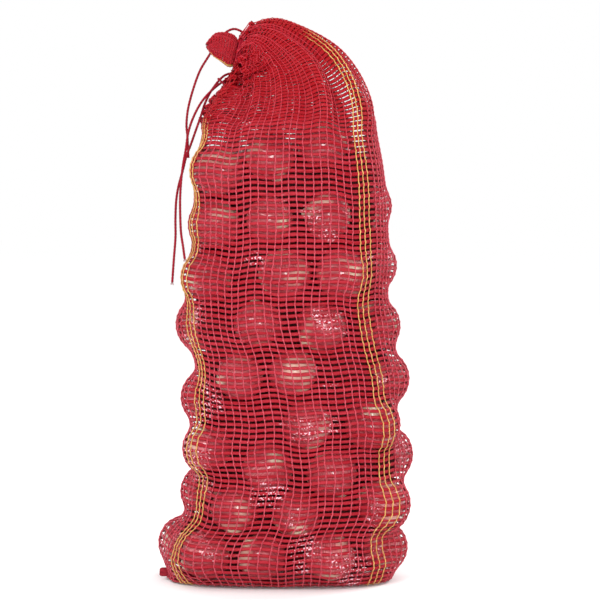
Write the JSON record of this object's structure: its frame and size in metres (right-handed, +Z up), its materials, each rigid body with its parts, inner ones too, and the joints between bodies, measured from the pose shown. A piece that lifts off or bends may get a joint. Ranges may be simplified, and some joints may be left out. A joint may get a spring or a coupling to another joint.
{
  "type": "mesh drawstring sack",
  "caption": "Tall drawstring sack of leno-woven red netting, packed full of round papery bulbs, tied at the neck and standing on its seam.",
  "frame": {"origin": "on the floor, under the middle of the sack's box", "axes": "+Z up the sack; the front faces -Y; the gathered mouth leans to -X"},
  "size_m": [0.3171, 0.1604, 0.6756],
  "materials": {
    "netting": "semi-gloss woven plastic tape",
    "hem": "satin folded woven tape",
    "marker_yarn": "satin plastic yarn",
    "drawstring": "satin twisted cord",
    "bulb_skin": "glossy papery skin"
  },
  "bodies": {
    "sack": {"mesh_body": "netting", "bottom_seam": "hem", "marker_yarns_front_right": "marker_yarn", "marker_yarns_front_left": "marker_yarn", "marker_yarns_back_left": "marker_yarn", "marker_yarns_back_right": "marker_yarn", "neck_tie": "drawstring", "drawstring_slack": "drawstring", "bulb_01": "bulb_skin", "bulb_02": "bulb_skin", "bulb_03": "bulb_skin", "bulb_04": "bulb_skin", "bulb_05": "bulb_skin", "bulb_06": "bulb_skin", "bulb_07": "bulb_skin", "bulb_08": "bulb_skin", "bulb_09": "bulb_skin", "bulb_10": "bulb_skin", "bulb_11": "bulb_skin", "bulb_12": "bulb_skin", "bulb_13": "bulb_skin", "bulb_14": "bulb_skin", "bulb_15": "bulb_skin", "bulb_16": "bulb_skin", "bulb_17": "bulb_skin", "bulb_18": "bulb_skin", "bulb_19": "bulb_skin", "bulb_20": "bulb_skin", "bulb_21": "bulb_skin", "bulb_22": "bulb_skin", "bulb_23": "bulb_skin", "bulb_24": "bulb_skin", "bulb_25": "bulb_skin", "bulb_26": "bulb_skin", "bulb_27": "bulb_skin", "bulb_28": "bulb_skin", "bulb_29": "bulb_skin", "bulb_30": "bulb_skin", "bulb_31": "bulb_skin", "bulb_32": "bulb_skin", "bulb_33": "bulb_skin", "bulb_34": "bulb_skin", "bulb_35": "bulb_skin", "bulb_36": "bulb_skin", "bulb_37": "bulb_skin", "bulb_38": "bulb_skin", "bulb_39": "bulb_skin", "bulb_40": "bulb_skin", "bulb_41": "bulb_skin", "bulb_42": "bulb_skin", "bulb_43": "bulb_skin", "bulb_44": "bulb_skin", "bulb_45": "bulb_skin", "bulb_46": "bulb_skin", "bulb_47": "bulb_skin", "bulb_48": "bulb_skin"},
    "ruffle": {"mouth_ruffle": "netting"},
    "drawstring": {"drawstring_tail_long": "drawstring", "drawstring_tail_short": "drawstring", "drawstring_stub": "drawstring"}
  },
  "joints": [
    {"name": "drawstring_pull", "type": "slide", "parent": "sack", "child": "drawstring", "axis": [-1, 0, 0], "range_m": [0, 0.02]},
    {"name": "ruffle_tilt", "type": "hinge", "parent": "sack", "child": "ruffle", "pos_m": [-0.0545, 0, 0.6335], "axis": [0, 1, 0], "range_deg": [-15, 15]}
  ]
}
